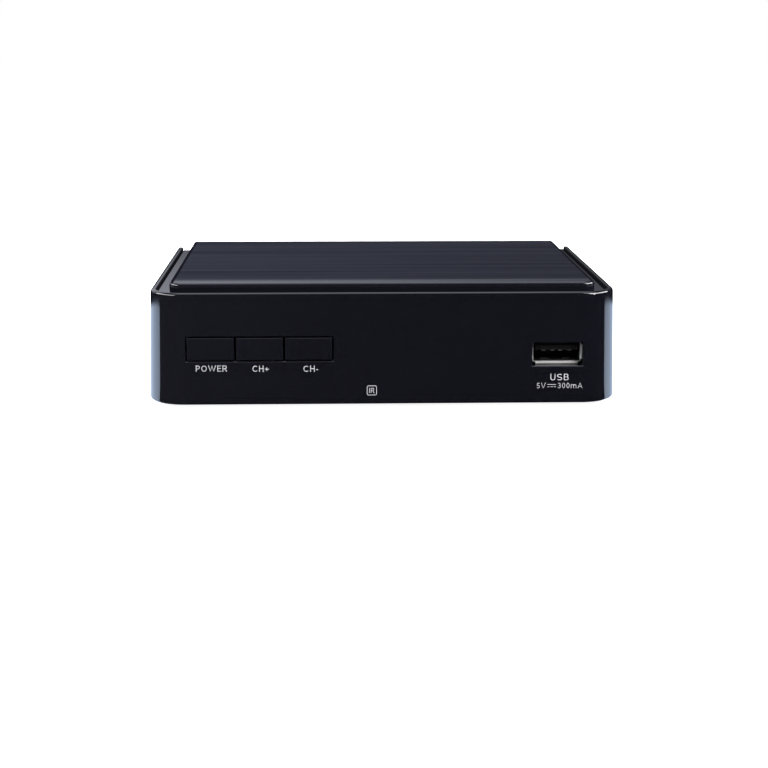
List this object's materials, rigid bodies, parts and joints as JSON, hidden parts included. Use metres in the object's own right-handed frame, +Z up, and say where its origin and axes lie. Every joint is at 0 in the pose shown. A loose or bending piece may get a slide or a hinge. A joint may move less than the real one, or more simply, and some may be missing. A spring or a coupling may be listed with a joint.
{
  "type": "terrestrial tv receiver",
  "caption": "Small set-top box that receives terrestrial television: gloss black wrap-round front, brushed raised lid, front keys and USB port, sockets at the rear.",
  "frame": {"origin": "middle of the whole box at the bottom of the feet, on the table", "axes": "+X to the right seen from the front, +Y to the rear sockets, +Z up"},
  "size_m": [0.126, 0.0998, 0.033],
  "materials": {
    "gloss_black": "polished moulded ABS",
    "brushed_lid": "hairline-brushed film on ABS",
    "matt_black": "fine spark-eroded texture",
    "foot_rubber": "matt",
    "screw_steel": "zinc-plated",
    "switch_black": "moulded",
    "plunger_ivory": "moulded",
    "tin_plate": "tinned sheet",
    "socket_nickel": "nickel-plated",
    "socket_black": "moulded",
    "contact_gold": "gold flash",
    "insulator_white": "moulded",
    "board_green": "solder resist",
    "chip_black": "moulded epoxy",
    "pad_grey": "silicone",
    "sink_aluminium": "extruded",
    "capacitor_sleeve": "shrink sleeve",
    "inductor_ferrite": "pressed ferrite",
    "phono_yellow": "moulded",
    "phono_white": "moulded",
    "phono_red": "moulded"
  },
  "bodies": {
    "receiver": {"front_frame": "gloss_black", "top_cover": "brushed_lid", "base_tray": "matt_black", "rear_panel": "matt_black", "rubber_feet": "foot_rubber", "case_screws": "screw_steel", "board_screws": "screw_steel", "switch_bodies": "switch_black", "switch_brackets": "tin_plate", "tuner_can": "tin_plate", "tuner_lid": "tin_plate", "infrared_leads": "tin_plate", "crystal": "tin_plate", "usb_shell": "socket_nickel", "video_shell": "socket_nickel", "aerial_barrel": "socket_nickel", "loop_barrel": "socket_nickel", "loop_pin": "socket_nickel", "phono_rings": "socket_nickel", "phono_contacts": "socket_nickel", "jack_pin": "socket_nickel", "jack_spring": "socket_nickel", "usb_insulator": "socket_black", "video_insulator": "socket_black", "phono_block": "socket_black", "jack_body": "socket_black", "usb_contacts": "contact_gold", "video_contacts": "contact_gold", "aerial_contact": "contact_gold", "aerial_insulator": "insulator_white", "loop_insulator": "insulator_white", "main_board": "board_green", "receiver_chip": "chip_black", "memory_chips": "chip_black", "regulators": "chip_black", "infrared_receiver": "chip_black", "thermal_pad": "pad_grey", "heat_sink": "sink_aluminium", "capacitors": "capacitor_sleeve", "inductors": "inductor_ferrite", "picture_phono": "phono_yellow", "left_phono": "phono_white", "right_phono": "phono_red"},
    "power_button": {"power_key": "gloss_black", "power_plunger": "plunger_ivory"},
    "channel_up_button": {"channel_up_key": "gloss_black", "channel_up_plunger": "plunger_ivory"},
    "channel_down_button": {"channel_down_key": "gloss_black", "channel_down_plunger": "plunger_ivory"}
  },
  "joints": [
    {"name": "power_press", "type": "slide", "parent": "receiver", "child": "power_button", "axis": [0, 1, 0], "range_m": [0, 0.00035], "stiffness_N_per_m": 1500, "springref_m": -0.0008},
    {"name": "channel_up_press", "type": "slide", "parent": "receiver", "child": "channel_up_button", "axis": [0, 1, 0], "range_m": [0, 0.00035], "stiffness_N_per_m": 1500, "springref_m": -0.0008},
    {"name": "channel_down_press", "type": "slide", "parent": "receiver", "child": "channel_down_button", "axis": [0, 1, 0], "range_m": [0, 0.00035], "stiffness_N_per_m": 1500, "springref_m": -0.0008}
  ]
}
